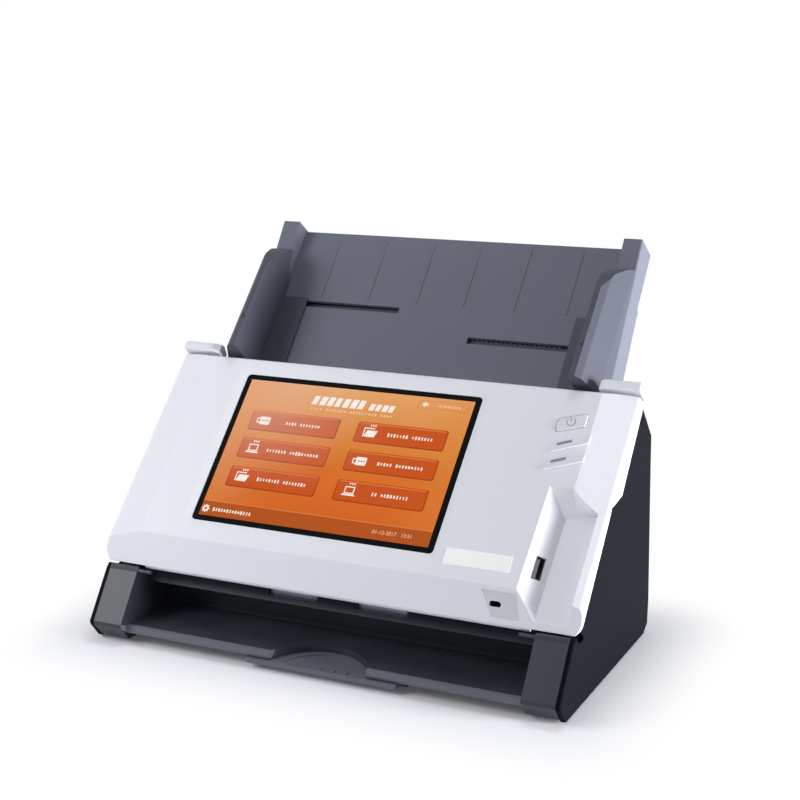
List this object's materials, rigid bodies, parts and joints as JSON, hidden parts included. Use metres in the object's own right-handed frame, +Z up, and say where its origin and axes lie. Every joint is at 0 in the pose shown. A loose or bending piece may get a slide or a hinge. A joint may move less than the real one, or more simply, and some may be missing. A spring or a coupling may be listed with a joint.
{
  "type": "sheet-fed scanner",
  "caption": "Desktop sheet-fed scanner with a sloped hinged cover carrying a touch display, a feeder tray with sliding guides and a delivery bay in front.",
  "frame": {"origin": "on the table, under the middle of the whole machine's bounding box", "axes": "+X right as the user faces it, -Y towards the user, +Z up"},
  "size_m": [0.304, 0.2182, 0.2207],
  "materials": {
    "white_plastic": "satin",
    "charcoal_plastic": "fine texture",
    "side_charcoal": "satin",
    "slate_plastic": "satin",
    "inner_black": "matt",
    "screen_glass": "polished",
    "display_panel": "smooth",
    "circuit_board": "solder mask",
    "steel": "turned",
    "socket_shell": "plated",
    "roller_rubber": "ground",
    "foot_rubber": "matt",
    "belt_rubber": "matt",
    "gear_plastic": "smooth",
    "sensor_body": "matt",
    "sensor_glass": "polished",
    "label_white": "smooth",
    "button_grey": "satin",
    "light_pipe": "frosted",
    "pad_rubber": "matt",
    "motor_steel": "drawn",
    "bush_plastic": "smooth"
  },
  "bodies": {
    "base": {"base_housing": "charcoal_plastic", "side_panel_left": "side_charcoal", "side_panel_right": "side_charcoal", "rear_cover": "charcoal_plastic", "lower_sheet_guide": "charcoal_plastic", "feeder_tray": "slate_plastic", "lower_image_sensor": "sensor_body", "lower_sensor_glass": "sensor_glass", "main_board": "circuit_board", "power_jack": "inner_black", "network_jack": "socket_shell", "service_socket": "socket_shell", "hinge_pins": "steel", "rubber_feet": "foot_rubber", "board_screws": "steel", "flag_bracket": "inner_black", "motor": "motor_steel", "exit_belt": "belt_rubber", "motor_belt": "belt_rubber", "shaft_bushes": "bush_plastic"},
    "cover": {"cover_shell": "white_plastic", "cover_inner_frame": "inner_black", "display_glass": "screen_glass", "display_module": "display_panel", "control_board": "circuit_board", "button_board": "circuit_board", "front_label": "label_white", "status_lights": "light_pipe", "usb_socket": "socket_shell", "separation_pad": "pad_rubber", "separation_holder": "inner_black", "cover_screws": "steel", "upper_image_sensor": "sensor_body", "upper_sensor_glass": "sensor_glass", "drive_pinch_shaft": "steel", "exit_pinch_shaft": "steel"},
    "power_button": {"power_button": "button_grey"},
    "release_lever": {"release_shaft": "steel", "release_ears": "white_plastic", "latch_hooks": "inner_black"},
    "drive_pinch": {"drive_pinch_rollers": "gear_plastic"},
    "exit_pinch": {"exit_pinch_rollers": "gear_plastic"},
    "feed_roller": {"feed_roller_shaft": "steel", "feed_roller_tyres": "roller_rubber", "feed_gear": "gear_plastic"},
    "drive_roller": {"drive_roller_shaft": "steel", "drive_roller_tyres": "roller_rubber", "drive_gear": "gear_plastic"},
    "exit_roller": {"exit_roller_shaft": "steel", "exit_roller_tyres": "roller_rubber", "exit_pulley": "gear_plastic"},
    "idler": {"idler_gear": "gear_plastic"},
    "motor_spindle": {"motor_spindle": "steel"},
    "guide_right": {"paper_guide_right": "slate_plastic"},
    "guide_left": {"paper_guide_left": "slate_plastic"},
    "guide_pinion": {"guide_pinion": "gear_plastic"},
    "sheet_lever": {"sheet_flag": "inner_black"},
    "sheet_stop": {"pull_out_stop": "charcoal_plastic"}
  },
  "joints": [
    {"name": "cover_hinge", "type": "hinge", "parent": "base", "child": "cover", "pos_m": [0, -0.07882, 0.04538], "axis": [1, 0, 0], "range_deg": [0, 80]},
    {"name": "power_button_press", "type": "slide", "parent": "cover", "child": "power_button", "axis": [0, 0.6947, -0.7193], "range_m": [0, 0.0012], "stiffness_N_per_m": 400},
    {"name": "release_lever_pull", "type": "hinge", "parent": "cover", "child": "release_lever", "pos_m": [0, 0.00921, 0.13345], "axis": [1, 0, 0], "range_deg": [0, 5], "stiffness_Nm_per_rad": 1.2, "springref_deg": -2.86},
    {"name": "drive_pinch_spin", "type": "hinge", "parent": "cover", "child": "drive_pinch", "pos_m": [0, -0.01952, 0.0941], "axis": [1, 0, 0], "continuous": true},
    {"name": "exit_pinch_spin", "type": "hinge", "parent": "cover", "child": "exit_pinch", "pos_m": [0, -0.07347, 0.042], "axis": [1, 0, 0], "continuous": true},
    {"name": "drive_roller_spin", "type": "hinge", "parent": "base", "child": "drive_roller", "pos_m": [0, -0.01063, 0.08489], "axis": [1, 0, 0], "continuous": true},
    {"name": "feed_roller_spin", "type": "hinge", "parent": "base", "child": "feed_roller", "pos_m": [0, 0.01661, 0.10564], "axis": [1, 0, 0], "continuous": true},
    {"name": "exit_roller_spin", "type": "hinge", "parent": "base", "child": "exit_roller", "pos_m": [0, -0.06597, 0.03423], "axis": [1, 0, 0], "continuous": true},
    {"name": "idler_spin", "type": "hinge", "parent": "base", "child": "idler", "pos_m": [0, 0.0018, 0.09435], "axis": [1, 0, 0], "continuous": true},
    {"name": "motor_spin", "type": "hinge", "parent": "base", "child": "motor_spindle", "pos_m": [0, -0.0058, 0.03], "axis": [1, 0, 0], "continuous": true},
    {"name": "right_guide_slide", "type": "slide", "parent": "base", "child": "guide_right", "axis": [-1, 0, 0], "range_m": [0, 0.075]},
    {"name": "left_guide_slide", "type": "slide", "parent": "base", "child": "guide_left", "axis": [1, 0, 0], "range_m": [0, 0.075]},
    {"name": "guide_pinion_spin", "type": "hinge", "parent": "base", "child": "guide_pinion", "pos_m": [0, 0.06307, 0.16405], "axis": [0, -0.6947, 0.7193], "range_deg": [-720, 0]},
    {"name": "sheet_lever_tip", "type": "hinge", "parent": "base", "child": "sheet_lever", "pos_m": [0, 0.0044, 0.101], "axis": [1, 0, 0], "range_deg": [0, 30], "stiffness_Nm_per_rad": 0.001, "springref_deg": -17.19},
    {"name": "sheet_stop_pull", "type": "slide", "parent": "base", "child": "sheet_stop", "axis": [0, -1, 0], "range_m": [0, 0.028]}
  ],
  "couplings": [
    {"joint": "feed_roller_spin", "follows": "drive_roller_spin", "ratio": 0.66667},
    {"joint": "idler_spin", "follows": "drive_roller_spin", "ratio": -0.63158},
    {"joint": "exit_roller_spin", "follows": "drive_roller_spin", "ratio": 1.3333},
    {"joint": "motor_spin", "follows": "drive_roller_spin", "ratio": 2.4},
    {"joint": "left_guide_slide", "follows": "right_guide_slide", "ratio": 1},
    {"joint": "guide_pinion_spin", "follows": "right_guide_slide", "rad_per_m": -166.67}
  ]
}
